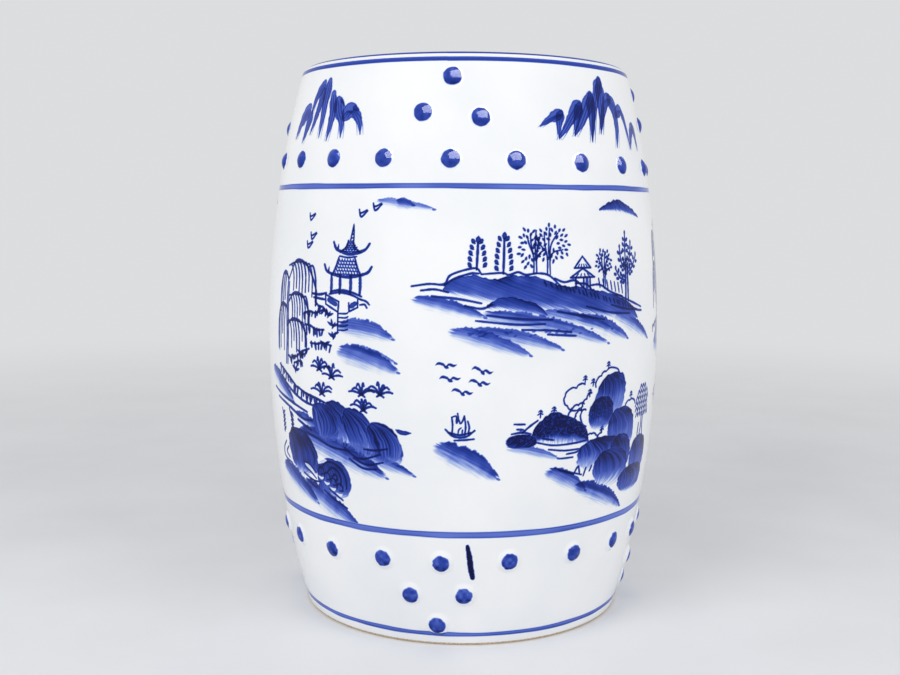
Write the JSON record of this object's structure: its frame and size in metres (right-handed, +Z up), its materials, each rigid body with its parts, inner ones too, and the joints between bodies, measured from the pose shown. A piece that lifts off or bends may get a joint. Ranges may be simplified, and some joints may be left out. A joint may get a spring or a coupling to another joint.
{
  "type": "garden stool",
  "caption": "Hollow barrel-shaped glazed ceramic garden stool with a flat round seat, an open foot ring, bands of raised studs and blue painted scenery",
  "frame": {"origin": "centre of the foot ring's underside, on the floor", "axes": "+Z up along the barrel's axis, -Y towards the front stud triangles, +X to the right of the front"},
  "size_m": [0.341, 0.3408, 0.46],
  "materials": {
    "white_glaze": "gloss",
    "cobalt_glaze": "gloss",
    "bisque": "matte"
  },
  "bodies": {
    "root": {"barrel_wall": "white_glaze", "seat_disc": "white_glaze", "foot_ring": "bisque", "upper_stud_ring": "cobalt_glaze", "upper_stud_cluster_front": "cobalt_glaze", "upper_stud_cluster_right": "cobalt_glaze", "upper_stud_cluster_back": "cobalt_glaze", "upper_stud_cluster_left": "cobalt_glaze", "lower_stud_ring": "white_glaze", "lower_stud_cluster_front": "white_glaze", "lower_stud_cluster_right": "white_glaze", "lower_stud_cluster_back": "white_glaze", "lower_stud_cluster_left": "white_glaze"}
  },
  "joints": []
}
